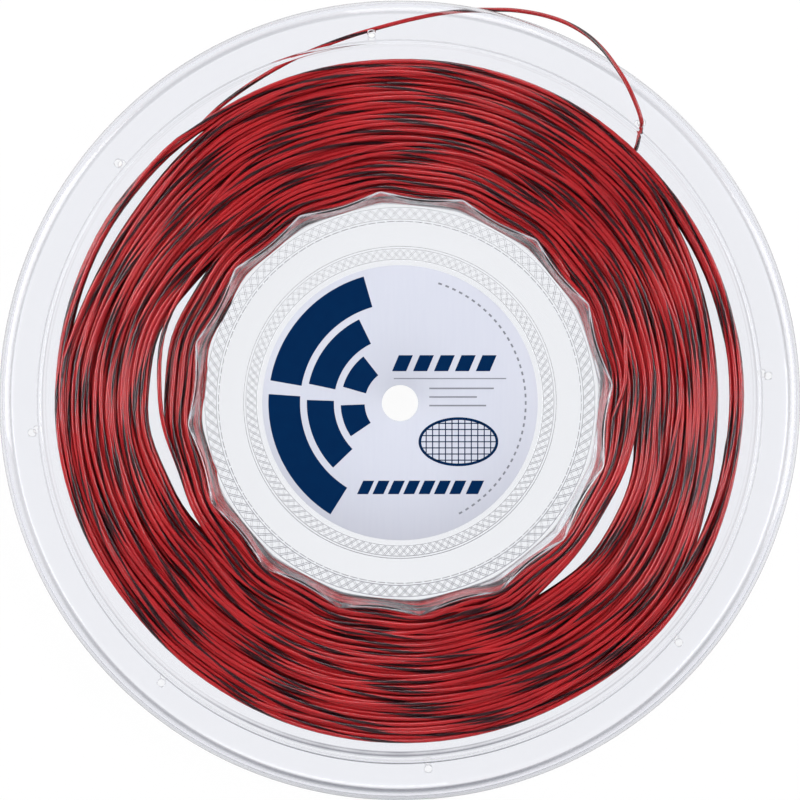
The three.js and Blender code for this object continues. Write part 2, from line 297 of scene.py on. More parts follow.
def grid_piece(name, points, material, uv=None, wrap=False, close=False, flip=False,
               dropped=None, extra=(), flat=False):
    """A mesh of quads over a grid of points. wrap joins the last row to the first and close
    the last column to the first; uv gives a value for each column and each row; dropped marks
    quads to leave out by their first corner, and extra adds flat ones by point numbers.
    flip turns every quad over, and flat leaves them all unsmoothed."""
    rows, columns = points.shape[:2]
    row = np.arange(rows if wrap else rows - 1)
    column = np.arange(columns if close else columns - 1)
    r, c = np.meshgrid(row, column, indexing="ij")
    if dropped is not None:
        keep = ~dropped[r, c]
        r, c = r[keep], c[keep]
    r2, c2 = (r + 1) % rows, (c + 1) % columns
    corners = [r * columns + c, r * columns + c2, r2 * columns + c2, r2 * columns + c]
    quads = np.stack(corners[::-1] if flip else corners, axis=-1).reshape(-1, 4)
    smooth_quads = len(quads)
    if len(extra):
        added = np.concatenate(extra)
        quads = np.concatenate([quads, added[:, ::-1] if flip else added])
    mesh = bpy.data.meshes.new(name)
    mesh.vertices.add(rows * columns)
    mesh.vertices.foreach_set("co", points.astype(np.float32).ravel())
    mesh.loops.add(quads.size)
    mesh.loops.foreach_set("vertex_index", quads.astype(np.int32).ravel())
    mesh.polygons.add(len(quads))
    mesh.polygons.foreach_set("loop_start", np.arange(0, quads.size, 4, dtype=np.int32))
    if uv is not None:
        u, v = uv
        us = [u[c], u[c + 1], u[c + 1], u[c]]
        vs = [v[r], v[r], v[r + 1], v[r + 1]]
        us = np.stack(us[::-1] if flip else us, -1)
        vs = np.stack(vs[::-1] if flip else vs, -1)
        layer = mesh.uv_layers.new(name="lay")
        layer.data.foreach_set("uv", np.stack([us, vs], -1).astype(np.float32).ravel())
    mesh.update(calc_edges=True)
    rounded_faces = 0 if flat else smooth_quads
    mesh.polygons.foreach_set("use_smooth", np.arange(len(quads)) < rounded_faces)
    mesh.materials.append(material)
    piece = bpy.data.objects.new(name, mesh)
    scene.collection.objects.link(piece)
    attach(piece, "root")
    return piece


def new_material(name):
    """An empty node material and its tree."""
    material = bpy.data.materials.new(name)
    material.use_nodes = True
    material.node_tree.nodes.clear()
    return material, material.node_tree


def add_node(tree, kind, inputs=None, **settings):
    """A node with its own settings by name, and its inputs as links or plain values."""
    node = tree.nodes.new("ShaderNode" + kind)
    for setting, value in settings.items():
        setattr(node, setting, value)
    for socket, value in (inputs or {}).items():
        if isinstance(value, bpy.types.NodeSocket):
            tree.links.new(value, node.inputs[socket])
        else:
            node.inputs[socket].default_value = value
    return node


def math_node(tree, operation, *values):
    """A Math node of up to three links or plain numbers; it gives back its output."""
    return add_node(tree, "Math", dict(enumerate(values)), operation=operation).outputs[0]


def distance_node(tree, value, middle):
    """How far a link's value is from a middle one, either way."""
    return math_node(tree, "ABSOLUTE", math_node(tree, "SUBTRACT", value, middle))


def mix_colour(tree, share, first, second):
    """A mix of two links or plain colours by a share; it gives back its colour."""
    inputs = {0: share, 6: first, 7: second}
    return add_node(tree, "Mix", inputs, data_type="RGBA").outputs[2]


def surface(tree, shader):
    """Makes a shader the material's surface."""
    add_node(tree, "OutputMaterial", {"Surface": shader.outputs[0]})


def mottle_group():
    """Soft noise from 0 to 1 over a piece. Its place is first stretched by a factor on each axis,
    so that equal factors give clouds and unequal ones a grain."""
    group = bpy.data.node_groups.new("mottle", "ShaderNodeTree")
    for title, kind in (("Place", "Vector"), ("Stretch", "Vector"), ("Detail", "Float")):
        group.interface.new_socket(title, in_out="INPUT", socket_type="NodeSocket" + kind)
    group.interface.new_socket("Shade", in_out="OUTPUT", socket_type="NodeSocketFloat")
    given = group.nodes.new("NodeGroupInput")
    result = group.nodes.new("NodeGroupOutput")
    both = {0: given.outputs["Place"], 1: given.outputs["Stretch"]}
    place = add_node(group, "VectorMath", both, operation="MULTIPLY").outputs[0]
    inputs = {"Vector": place, "Scale": 1.0, "Detail": given.outputs["Detail"]}
    noise = add_node(group, "TexNoise", inputs)
    group.links.new(noise.outputs["Fac"], result.inputs["Shade"])
    return group


MOTTLE = mottle_group()


def mottle_node(tree, stretch, detail):
    """The mottle on a piece's Object coordinates; it gives back the shade."""
    place = add_node(tree, "TexCoord").outputs["Object"]
    inputs = {"Place": place, "Stretch": stretch, "Detail": detail}
    return add_node(tree, "Group", inputs, node_tree=MOTTLE).outputs["Shade"]


# Red nylon with a black stripe that was run on in a long helix, both under a clear gloss.
STRIPE_LAY = 0.042  # metres of string for one turn of the stripe
STRIPE_SHARE = 0.29  # of the way round
STRIPE_EDGE = 12.0  # how steep the stripe's soft edge is
STRING_RED = (0.48, 0.018, 0.020, 1.0)
STRING_DEEP_RED = (0.24, 0.006, 0.010, 1.0)
STRING_BLACK = (0.020, 0.004, 0.006, 1.0)


def string_material():
    """The stripe is where once round plus length over its lay, less whole turns, is within half
    its share of one half. A soft edge and slow noise keep the colours from being flat."""
    material, tree = new_material("striped_string")
    uv = add_node(tree, "UVMap", uv_map="lay")
    round_it, along, _ = add_node(tree, "SeparateXYZ", {0: uv.outputs["UV"]}).outputs
    turned = math_node(tree, "MULTIPLY_ADD", along, 1.0 / STRIPE_LAY, round_it)
    from_middle = distance_node(tree, math_node(tree, "FRACT", turned), 0.5)
    inside = math_node(tree, "SUBTRACT", STRIPE_SHARE / 2, from_middle)
    stripe = math_node(tree, "MULTIPLY_ADD", inside, STRIPE_EDGE, 0.5)
    stripe.node.use_clamp = True
    mottle = mottle_node(tree, stretch=(90.0, 90.0, 90.0), detail=3.0)
    red = mix_colour(tree, mottle, STRING_DEEP_RED, STRING_RED)
    colour = mix_colour(tree, stripe, red, STRING_BLACK)
    rough = math_node(tree, "MULTIPLY_ADD", mottle, 0.08, 0.07)
    finish = {"Base Color": colour, "Roughness": rough, "IOR": 1.55, "Specular IOR Level": 0.6}
    surface(tree, add_node(tree, "BsdfPrincipled", finish))
    return material


STRIPED = string_material()
STRING_PIECES = 4
whole = wound_line()
side, up = tube_frame(whole)
gone = np.concatenate([[0.0], np.cumsum(np.linalg.norm(np.diff(whole, axis=0), axis=1))])
print(f"wound string {gone[-1]:.1f} m")
bounds_at = np.linspace(0, len(whole) - 1, STRING_PIECES + 1).astype(int)
for piece_number, (first, last) in enumerate(zip(bounds_at[:-1], bounds_at[1:]), 1):
    span = slice(first, last + 1)
    name = f"wound_string_{piece_number}"
    wound = string_mesh(name, whole[span], side[span], up[span], gone[span], STRIPED)
    if piece_number == STRING_PIECES:
        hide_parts("winding_core", "string_turns")

# ---- the free tail ---------------------------------------------------------------------------
# The string's outer end: out of the winding, through the slit between the lips, round outside
# the rim, over the front band and back in through a string hole.
RIM_R = 130.0 * MM
# Degrees, millimetres outside the rim's edge and millimetres above the weld plane.
TAIL_ROUTE = [
    (130.0, -19.85, -7.0),
    (126.5, -19.2, -7.0),
    (121.0, -17.4, -6.6),
    (115.0, -15.8, -5.3),
    (109.5, -14.2, -3.9),
    (104.0, -12.3, -2.7),
    (98.0, -10.2, -1.8),
    (92.0, -7.7, -1.0),
    (87.0, -5.0, -0.4),
    (83.0, -2.6, 0.0),
    (80.0, -0.9, 0.0),
    (77.0, 0.6, 0.0),
    (74.0, 2.2, 0.5),
    (70.0, 3.6, 1.6),
    (66.5, 4.0, 3.2),
    (63.2, 3.2, 5.2),
    (60.4, 1.4, 7.4),
    (57.8, -1.0, 9.0),
    (55.2, -3.6, 9.9),
    (52.8, -6.4, 10.2),
    (50.9, -8.7, 9.9),
    (49.7, -10.3, 8.9),
    (49.4, -10.7, 7.45),
    (49.2, -11.1, 6.0),
    (48.7, -12.5, 4.9),
    (48.2, -14.5, 4.4),
    (47.6, -16.5, 4.2),
    (47.2, -18.3, 4.1),
]
TAIL_POINTS = 260


def smooth_route(route, count):
    """A centripetal Catmull-Rom curve through the points, as count points of even spacing."""
    ends = [2 * route[0] - route[1], *route, 2 * route[-1] - route[-2]]
    route = np.array(ends)
    spans = np.linalg.norm(np.diff(route, axis=0), axis=1)
    knots = np.concatenate([[0.0], np.cumsum(spans**0.5)])
    at = np.linspace(knots[1], knots[-2], 40 * count)
    span = np.clip(np.searchsorted(knots, at, side="right") - 1, 1, len(route) - 3)
    t = [knots[span + k][:, None] for k in (-1, 0, 1, 2)]
    p = [route[span + k] for k in (-1, 0, 1, 2)]
    at = at[:, None]
    a = [((t[k + 1] - at) * p[k] + (at - t[k]) * p[k + 1]) / (t[k + 1] - t[k]) for k in range(3)]
    b = [((t[k + 2] - at) * a[k] + (at - t[k]) * a[k + 1]) / (t[k + 2] - t[k]) for k in range(2)]
    fine = ((t[2] - at) * b[0] + (at - t[1]) * b[1]) / (t[2] - t[1])
    run = np.concatenate([[0.0], np.cumsum(np.linalg.norm(np.diff(fine, axis=0), axis=1))])
    even = np.linspace(0.0, run[-1], count)
    return np.stack([np.interp(even, run, fine[:, k]) for k in range(3)], axis=1), run[-1]


tail_angle, tail_out, tail_h = np.array(TAIL_ROUTE).T
hand_points = round_points(RIM_R + tail_out * MM, np.radians(tail_angle), tail_h * MM)
tail_line, tail_length = smooth_route(hand_points, TAIL_POINTS)
tail_side, tail_up = tube_frame(tail_line, upright=(-0.64, -0.76, 0.12))
tail_run = gone[-1] + np.linspace(0.0, tail_length, TAIL_POINTS)
tail = string_mesh("tail_string", tail_line, tail_side, tail_up, tail_run, STRIPED)
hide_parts("string_tail")

# ---- the two clear shells --------------------------------------------------------------------
# Each is one thermoformed sheet of clear polyester: a flat hub floor, a drafted core wall with
# sharp crests, a flange, a step, a band with string holes, and a lip that falls to the slit.
SHEET = 0.7 * MM
FLOOR_H = 0.85 * MM
SPINDLE_R = 5.9 * MM
FLOOR_EDGE_R = 64.4 * MM
WALL_TOP_R = 65.9 * MM
CREST_FOOT = 0.8 * MM
CREST_TOP = 2.5 * MM
CREST_BLUNT = 0.010
STEP_R = 117.6 * MM
STEP_RUN = 1.4 * MM
STEP_DROP = 1.1 * MM
BAND_R = 125.2 * MM
LIP_END_H = 3.4 * MM
SLIT = 2.0 * MM
SHELL_COLUMNS = 512
HOLES = 8
HOLE_R = 1.2 * MM
HOLE_CIRCLE_R = 119.3 * MM
HOLE_PHASE = math.radians(4.4)
HOLE_CELLS = 4  # grid cells from a hole's middle to its edge
PATCH_CELLS = 6  # and to where the grid is even again
CELL = 0.3 * MM
WELD_RINGS = [(46.4 * MM, 51.2 * MM), (58.8 * MM, 63.7 * MM)]
WELD_DEPTH = 0.15 * MM
CUT = 0.08 * MM  # from a cut edge of the sheet to the next points on either side
HOLE_EDGE_SHADE = 0.65  # painted shade at a hole's edge
# How much painted shade the bends have on the front and on the back: the least, how much more
# at the bottom, and over how many degrees to each side.
FRONT_SHADE = (0.5, 0.8, 75.0)
BACK_SHADE = (0.45, 1.5, 46.0)
BOTTOM = 268.0
# Painted shade: a ragged dark arc along the back shell's step, near the bottom.
STEP_SHADE = 0.6  # most of the step's painted shade, its middle and half its length in degrees
STEP_SHADE_AT = 266.0
STEP_SHADE_HALF = 36.0


def rounded(corners, steps):
    """A line of (radius, height, crest depth, bend shade) through corners, each cut by a round of
    its
    own reach: a quadratic curve in that many steps, with a point just before and just after it
    so that the flats beside it keep their own direction. The bend shade, a share of painted
    shade, rises amid a round, but little at the step's upper one, and is 0 elsewhere."""
    corners = np.array(corners, float)
    line, bends = [corners[:1, :3]], [np.zeros(1)]
    for before, here, after in zip(corners[:-2], corners[1:-1], corners[2:]):
        reach = here[3]
        if reach == 0:
            line.append(here[None, :3])
            bends.append(np.zeros(1))
            continue
        to_before = before[:3] - here[:3]
        to_after = after[:3] - here[:3]
        to_before *= min(0.45, reach / np.linalg.norm(to_before[:2]))
        to_after *= min(0.45, reach / np.linalg.norm(to_after[:2]))
        start, stop = here[:3] + to_before, here[:3] + to_after
        t = np.linspace(0.0, 1.0, steps + 1)[:, None]
        line.append(here[None, :3] + 1.08 * to_before)
        line.append((1 - t) ** 2 * start + 2 * t * (1 - t) * here[:3] + t**2 * stop)
        line.append(here[None, :3] + 1.08 * to_after)
        # Painted shade at this round: little at the step's upper one.
        strength = 0.25 if abs(here[0] - STEP_R + STEP_RUN) < 0.1 * MM else 0.8
        bends += [np.zeros(1), strength * np.sin(np.pi * t[:, 0]) ** 0.5, np.zeros(1)]
    line.append(corners[-1:, :3])
    bends.append(np.zeros(1))
    return np.concatenate([np.concatenate(line), np.concatenate(bends)[:, None]], axis=1)


def shell_face():
    """The outside of a shell from the spindle hole to the slit, as radius, height above the
    weld plane, crest depth and painted bend shade. The flange is as far from that plane as the
    resting surface is, and the lip is a quarter of an ellipse."""
    floor = [(SPINDLE_R, FLOOR_H, 0, 0), (SPINDLE_R + CUT, FLOOR_H, 0, 0)]
    run, near = 0.2 * MM, 0.06 * MM
    for inner, outer in WELD_RINGS:
        steps = [(inner - near, 0), (inner, 0), (inner + run, 1), (inner + run + near, 1)]
        steps += [(outer - run - near, 1), (outer - run, 1), (outer, 0), (outer + near, 0)]
        floor += [(r, FLOOR_H - WELD_DEPTH * down, 0, 0) for r, down in steps]
    flange_h = WELD_PLANE
    band_h = flange_h - STEP_DROP
    rows = HOLE_CIRCLE_R + CELL * np.arange(-PATCH_CELLS, PATCH_CELLS + 1)
    corners = floor + [
        (FLOOR_EDGE_R, FLOOR_H, CREST_FOOT, 0.5 * MM),
        (WALL_TOP_R, flange_h, CREST_TOP, 1.2 * MM),
        (WALL_TOP_R + 6 * MM, flange_h, 0, 0),
        (STEP_R - STEP_RUN, flange_h, 0, 0.5 * MM),
        (STEP_R - 0.3 * MM, band_h, 0, 0.4 * MM),
        *[(row, band_h, 0, 0) for row in rows],
        (BAND_R - 0.3 * MM, band_h, 0, 0),
        (BAND_R, band_h, 0, 0),
    ]
    face = rounded(corners, 4)
    turn = np.linspace(0.0, np.pi / 2, 15)[1:]
    lip_r = BAND_R + (RIM_R - BAND_R) * np.sin(turn)
    lip_h = LIP_END_H + (band_h - LIP_END_H) * np.cos(turn)
    # Painted shade along the lip's fold, and where it stands upright.
    lip_shade = 0.9 * bump((lip_r - BAND_R - 0.9 * MM) / (1.5 * MM))
    lip_shade[-5:] = 0.7  # where it stands upright
    lip = np.stack([lip_r, lip_h, 0 * turn, lip_shade], axis=1)
    ends = [(RIM_R, h, 0, 0.5) for h in (LIP_END_H - 0.2 * MM, SLIT / 2 + CUT, SLIT / 2)]
    return np.concatenate([face, lip, ends])


def shell_section():
    """The closed section: the outside, and the same line moved inwards by the sheet. Under the
    knurled rings, where the two sheets are welded, the inside stays flat."""
    face = shell_face()
    ahead = np.diff(face[:, :2], axis=0)
    ahead /= np.linalg.norm(ahead, axis=1)[:, None]
    along = np.concatenate([ahead[:1], ahead[:-1] + ahead[1:], ahead[-1:]])
    along /= np.linalg.norm(along, axis=1)[:, None]
    inner = face.copy()
    inner[:, 0] += SHEET * along[:, 1]
    inner[:, 1] -= SHEET * along[:, 0]
    flat = face[:, 0] < FLOOR_EDGE_R - 0.6 * MM
    inner[flat, 0] = face[flat, 0]
    inner[flat, 1] = FLOOR_H - SHEET
    inner[0, 0] = SPINDLE_R
    inner[-1, 1] = SLIT / 2
    slit_cut = [(RIM_R - CUT, SLIT / 2, 0, 0), (RIM_R - SHEET + CUT, SLIT / 2, 0, 0)]
    hole_cut = [(SPINDLE_R, FLOOR_H - SHEET + CUT, 0, 0), (SPINDLE_R, FLOOR_H - CUT, 0, 0)]
    return np.concatenate([face, slit_cut, inner[::-1], hole_cut]), len(face)


def crest_share(angle):
    """How much of the crest depth the wall has: 1 on a crest, falling along a sine to 0 midway
    between two. The sine's root with a little added blunts the crest."""
    wave = np.sin(CRESTS / 2 * (angle - CREST_PHASE))
    low, high = math.sqrt(CREST_BLUNT), math.sqrt(1.0 + CREST_BLUNT)
    return 1.0 - (np.sqrt(wave**2 + CREST_BLUNT) - low) / (high - low)


# Clear polyester: glass to the eye, faintly lavender. It is a little darker towards the rim with
# painted shade, greyer where it is seen edge on, partly for the longer way through the sheet and
# partly as painted shade, and greyer at its bends with painted shade.
HUB_TINT = (0.976, 0.983, 1.0, 1.0)
# Painted shade: the rim's tint is a little darker than the hub's.
SHADED_RIM_TINT = (0.972, 0.977, 1.0, 1.0)
# Seen edge on: partly the longer way through the sheet, partly painted shade.
EDGE_TINT_AND_SHADE = (0.80, 0.81, 0.85, 1.0)
# Painted shade at the sheet's bends.
BEND_SHADE_TINT = (0.36, 0.367, 0.40, 1.0)
SHADOW_TINT = (0.93, 0.93, 0.95, 1.0)
# Painted light: the glow of the sheets where a ray has met too many faces.
PAINTED_ROOM_GLOW = (0.92, 0.92, 0.95, 1.0)
SHEET_IOR = 1.39
SHEET_FACES = 6.5  # met by light before it counts as lost between the sheets
HUB_END = 64.0 * MM  # radius where the hub's tint starts to give way to the rim's
RIM_START = 72.0 * MM


def clear_material():
    """Glass to the eye. The tint goes from the hub's to the rim's with radius, darker with painted
    shade; to the edge's as the surface turns away, partly for the longer way through the sheet and
    partly as painted shade; and to the bend's painted shade where the point attribute gives it.
    Slow noise gives the faint waves of a formed sheet."""
    material, tree = new_material("clear_polyester")
    place = add_node(tree, "TexCoord").outputs["Object"]
    x, y, _ = add_node(tree, "SeparateXYZ", {0: place}).outputs
    squared = math_node(tree, "MULTIPLY_ADD", y, y, math_node(tree, "MULTIPLY", x, x))
    reach = {"Value": math_node(tree, "SQRT", squared), "From Min": HUB_END, "From Max": RIM_START}
    outer = add_node(tree, "MapRange", reach, interpolation_type="SMOOTHSTEP")
    # Painted shade, a little darker from the hub out to the rim.
    tint = mix_colour(tree, outer.outputs[0], HUB_TINT, SHADED_RIM_TINT)
    turned = add_node(tree, "LayerWeight", {"Blend": 0.5})
    steep = math_node(tree, "POWER", turned.outputs["Facing"], 1.4)
    # Greyer seen edge on, partly the sheet's longer path and partly painted shade.
    tint = mix_colour(tree, steep, tint, EDGE_TINT_AND_SHADE)
    # Painted shade from the point attribute: at the bends, the holes' edges and the back's step.
    mark = add_node(tree, "Attribute", attribute_name="mark").outputs["Fac"]
    tint = mix_colour(tree, mark, tint, BEND_SHADE_TINT)
    rough = math_node(tree, "MULTIPLY_ADD", mark, 0.10, 0.02)
    mottle = mottle_node(tree, stretch=(45.0, 45.0, 45.0), detail=2.0)
    waves = add_node(tree, "Bump", {"Strength": 0.12, "Distance": 0.0004, "Height": mottle})
    glass_surface(tree, tint, rough, waves.outputs[0], SHEET_IOR, SHEET_FACES)
    return material


def glass_surface(tree, tint, rough, normal, ior, faces):
    """The clear sheet's shader. For a lamp's shadow ray it is plain tinted transparency, so that
    the string inside is lit, and where light has met more faces than given here the sheet glows
    with a painted white in place of the room's light, instead of stopping dead."""
    finish = {"Base Color": tint, "Roughness": rough, "Normal": normal, "IOR": ior}
    finish["Transmission Weight"] = 1.0
    glass = add_node(tree, "BsdfPrincipled", finish).outputs[0]
    clear = add_node(tree, "BsdfTransparent", {"Color": SHADOW_TINT}).outputs[0]
    # A painted glow in place of the room's light.
    room = add_node(tree, "Emission", {"Color": PAINTED_ROOM_GLOW}).outputs[0]
    path = add_node(tree, "LightPath").outputs
    mix = add_node(tree, "MixShader", {0: path["Is Shadow Ray"], 1: glass, 2: clear}).outputs[0]
    lost = math_node(tree, "GREATER_THAN", path["Ray Depth"], faces)
    surface(tree, add_node(tree, "MixShader", {0: lost, 1: mix, 2: room}))


CLEAR = clear_material()
section, face_rows = shell_section()
hole_angles = HOLE_PHASE + FULL_TURN * np.arange(HOLES) / HOLES
patch_angles = CELL / HOLE_CIRCLE_R * np.arange(-PATCH_CELLS, PATCH_CELLS + 1)
even_angles = (CREST_PHASE + FULL_TURN * np.arange(SHELL_COLUMNS) / SHELL_COLUMNS) % FULL_TURN
to_hole = np.abs((even_angles[:, None] - hole_angles + np.pi) % FULL_TURN - np.pi).min(axis=1)
clear_of_holes = even_angles[to_hole > patch_angles[-1] + 0.3 * CELL / HOLE_CIRCLE_R]
at_holes = (hole_angles[:, None] + patch_angles).ravel() % FULL_TURN
columns = np.sort(np.concatenate([clear_of_holes, at_holes]))


def bend_shade(facing):
    """Painted shade on the sheet at each column and row, from 0 to 1: the section's own bend shade
    times a slow unevenness that is most at the bottom, and on the back a ragged dark arc on its
    step."""
    least, more, reach = FRONT_SHADE if facing > 0 else BACK_SHADE
    # More painted shade towards the bottom, with a slow unevenness.
    at_bottom = bump(degrees_from(columns, BOTTOM) / reach)
    uneven = least + more * at_bottom + 0.10 * np.sin(7 * columns)
    shade_marks = section[:, 3] * uneven[:, None]
    if facing < 0:
        shade_marks[:, section[:, 0] > BAND_R - 0.1 * MM] = 0.0
        # Painted shade: a ragged dark arc along the back's step.
        ragged = 0.75 + 0.25 * np.sin(41 * columns) * np.sin(17 * columns)
        step_shade = STEP_SHADE * ragged * bump(degrees_from(columns, STEP_SHADE_AT) / STEP_SHADE_HALF)
        shade_marks += step_shade[:, None] * (np.abs(section[:, 0] - STEP_R + 0.8 * MM) < 0.9 * MM)
    return shade_marks


def shell(name, node, facing):
    """The section carried round the axis; facing is 1 for the front and -1 for the back. At a
    hole the square grid is drawn out to a circle, its inside is left out, and a wall joins the
    circle's two faces."""
    radius = section[:, 0] + section[:, 2] * crest_share(columns)[:, None]
    angle = np.broadcast_to(columns[:, None], radius.shape).copy()
    cells_out = (section[:, 0] - HOLE_CIRCLE_R) / CELL
    level = np.abs(section[:, 2]) < 1e-9
    shade_marks = bend_shade(facing)
    dropped = np.zeros(radius.shape, bool)
    walls = []
    for hole in hole_angles:
        turn = (columns - hole + np.pi) % FULL_TURN - np.pi
        cells_across = turn * HOLE_CIRCLE_R / CELL
        across, out = np.meshgrid(cells_across, cells_out, indexing="ij")
        square = np.maximum(np.abs(across), np.abs(out))
        inside = (square < PATCH_CELLS + 0.2) & level
        length = np.maximum(np.hypot(across, out), 1e-6)
        share = np.clip((square - HOLE_CELLS) / (PATCH_CELLS - HOLE_CELLS), 0.0, 1.0)
        circle = HOLE_R / CELL * square / HOLE_CELLS / length
        scale = np.where(inside, circle + (1.0 - circle) * share, 1.0)
        radius = np.where(inside, HOLE_CIRCLE_R + out * scale * CELL, radius)
        angle = np.where(inside, hole + across * scale * CELL / HOLE_CIRCLE_R, angle)
        # Painted shade round the hole's edge.
        shade_marks = shade_marks + HOLE_EDGE_SHADE * (inside & (np.abs(square - HOLE_CELLS) < 0.3))
        left, low = np.rint(across), np.rint(np.minimum(out, np.roll(out, -1, axis=1)))
        within = (np.minimum(left, low) >= -HOLE_CELLS) & (np.maximum(left, low) < HOLE_CELLS)
        dropped |= inside & np.roll(inside, -1, axis=1) & within
        walls.append(hole_wall(cells_across, cells_out))
    points = round_points(radius, angle, facing * section[:, 1])
    piece = grid_piece(name, points, CLEAR, wrap=True, close=True, flip=facing < 0,
                       dropped=dropped, extra=walls)
    shade_marks = np.minimum(shade_marks, 1.0)
    # The painted shade goes to the clear material as a point attribute.
    layer = piece.data.attributes.new("mark", "FLOAT", "POINT")
    layer.data.foreach_set("value", shade_marks.astype(np.float32).ravel())
    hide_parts(node)


def hole_wall(cells_across, cells_out):
    """The quads between a hole's edge on the outside and on the inside of the sheet, as point
    numbers. The edge runs round a square of cells, from corner to corner; each of its points is
    where the column and the row lie nearest to it, first in the outer rows, then in the inner."""
    n = HOLE_CELLS
    side, end = np.arange(-n, n), np.full(2 * n, n)
    column_cells = np.concatenate([side, end, -side, -end])
    row_cells = np.concatenate([-end, side, end, -side])
    column = np.abs(cells_across[:, None] - column_cells).argmin(axis=0) * len(cells_out)
    away = np.abs(cells_out[:, None] - row_cells)
    outer = column + away[:face_rows].argmin(axis=0)
    inner = column + face_rows + away[face_rows:].argmin(axis=0)
    return np.stack([outer, inner, np.roll(inner, -1), np.roll(outer, -1)], axis=1)


shell("clear_front_shell", "front_shell", 1)
shell("clear_back_shell", "back_shell", -1)

# ---- the welds -------------------------------------------------------------------------------
# Two knurled rings on each face, where the sheets were welded together between patterned tools.
# Pairs of fine grooves cross in a row of lozenges; plain and dashed lines bound them.
WELD_CELLS = 122
WELD_TINT = (1.0, 1.0, 1.0, 1.0)
# Painted shade in the knurl's grooves and lines.
PAINTED_GROOVE_SHADE = (0.42, 0.42, 0.45, 1.0)
WELD_IOR = 1.15  # low, since the two sheets have melted into one there
WELD_FACES = 8.5
# In cells: from a diagonal to each of its two grooves, a groove's half width and its soft edge.
PAIR_HALF = 0.11
GROOVE_HALF = 0.010
GROOVE_SOFT = 0.018
DASH_LENGTH = (0.40, 0.04)  # half of it and its soft edge, in cells
# The same halves and soft edges in shares of the knurl's width, and in millimetres for its lines.
KNURL_WIDTH = (0.48, 0.02)
PLAIN_LINE = (0.02, 0.08)
DASHED_LINE = (0.07, 0.08)
# In millimetres of radius: the knurl's edges, and the lines beside it, dashed or not.
INNER_KNURL = (46.9, 49.9)
INNER_LINES = [(46.7, False), (50.15, False), (50.9, False)]
OUTER_KNURL = (59.9, 63.3)
OUTER_LINES = [(59.0, True), (59.75, False), (63.5, False)]
INNER_INSET = 0.2 * MM  # from a weld's sunk track to the knurled sheet in it
OUTER_INSET = 0.02 * MM


def line_mask(tree, distance, half, soft):
    """1 within half of a line and falling to 0 over the soft width outside it."""
    mask = math_node(tree, "MULTIPLY_ADD", distance, -1.0 / soft, 1.0 + half / soft)
    mask.node.use_clamp = True
    return mask


def weld_material(name, knurl, lines):
    """Clear sheet with fine grooves, darker with painted shade. The UV gives millimetres of radius
    and cells round the axis. Two diagonals cross each cell of the knurl, each a pair of grooves;
    lines lie at given radii, unbroken or with a gap in each cell."""
    material, tree = new_material(name)
    uv = add_node(tree, "UVMap", uv_map="lay")
    out, cells, _ = add_node(tree, "SeparateXYZ", {0: uv.outputs["UV"]}).outputs
    height = knurl[1] - knurl[0]
    share = math_node(tree, "MULTIPLY_ADD", out, 1.0 / height, -knurl[0] / height)
    grooves = 0.0
    for lean in (1.0, -1.0):
        place = math_node(tree, "FRACT", math_node(tree, "MULTIPLY_ADD", share, lean, cells))
        from_groove = distance_node(tree, distance_node(tree, place, 0.5), PAIR_HALF)
        mask = line_mask(tree, from_groove, GROOVE_HALF, GROOVE_SOFT)
        grooves = math_node(tree, "MAXIMUM", grooves, mask)
    width = line_mask(tree, distance_node(tree, share, 0.5), *KNURL_WIDTH)
    grooves = math_node(tree, "MULTIPLY", grooves, width)
    for at, dashed in lines:
        half, soft = DASHED_LINE if dashed else PLAIN_LINE
        mask = line_mask(tree, distance_node(tree, out, at), half, soft)
        if dashed:
            place = distance_node(tree, math_node(tree, "FRACT", cells), 0.5)
            mask = math_node(tree, "MULTIPLY", mask, line_mask(tree, place, *DASH_LENGTH))
        grooves = math_node(tree, "MAXIMUM", grooves, mask)
    relief = {"Strength": 0.25, "Distance": 0.0001, "Height": grooves}
    relief = add_node(tree, "Bump", relief, invert=True).outputs[0]
    # Painted shade darkens the grooves and lines.
    tint = mix_colour(tree, grooves, WELD_TINT, PAINTED_GROOVE_SHADE)
    rough = math_node(tree, "MULTIPLY_ADD", grooves, 0.12, 0.02)
    glass_surface(tree, tint, rough, relief, WELD_IOR, WELD_FACES)
    return material


def weld(name, inner, outer, facing, material):
    """A thin ring that lies in the weld's sunk track, flush with the floor's face."""
    near = 0.05 * MM
    top, bottom = FLOOR_H - 0.03 * MM, FLOOR_H - WELD_DEPTH + 0.01 * MM
    upper = [(inner, top), (inner + near, top), (outer - near, top), (outer, top)]
    lower = [(outer, bottom), (outer - near, bottom), (inner + near, bottom), (inner, bottom)]
    profile = np.array(upper + lower)
    angle = np.linspace(0.0, FULL_TURN, WELD_CELLS * 4 + 1)
    points = round_points(profile[:, 0], angle[:-1, None], facing * profile[:, 1])
    round_it = np.append(profile[:, 0], profile[0, 0]) / MM
    uv = (round_it, angle * WELD_CELLS / FULL_TURN)
    piece = grid_piece(name, points, material, uv=uv, wrap=True, close=True, flip=facing < 0)


INNER_WELD = weld_material("inner_weld", INNER_KNURL, INNER_LINES)
OUTER_WELD = weld_material("outer_weld", OUTER_KNURL, OUTER_LINES)
for facing, face_name in ((1, "front"), (-1, "back")):
    (r0, r1), (r2, r3) = WELD_RINGS
    weld(face_name + "_inner_weld", r0 + INNER_INSET, r1 - INNER_INSET, facing, INNER_WELD)
    weld(face_name + "_outer_weld", r2 + OUTER_INSET, r3 - OUTER_INSET, facing, OUTER_WELD)

# ---- the label -------------------------------------------------------------------------------
# A silver-grey satin film, cut as a disc with a hole for the spindle and stuck on the front
# floor. It is printed with a plain navy and grey design.
LABEL_R = 44.8 * MM
LABEL_H = (1.15 * MM, 1.45 * MM)
PAPER = ((0.586, 0.606, 0.702, 1.0), (0.618, 0.639, 0.725, 1.0))


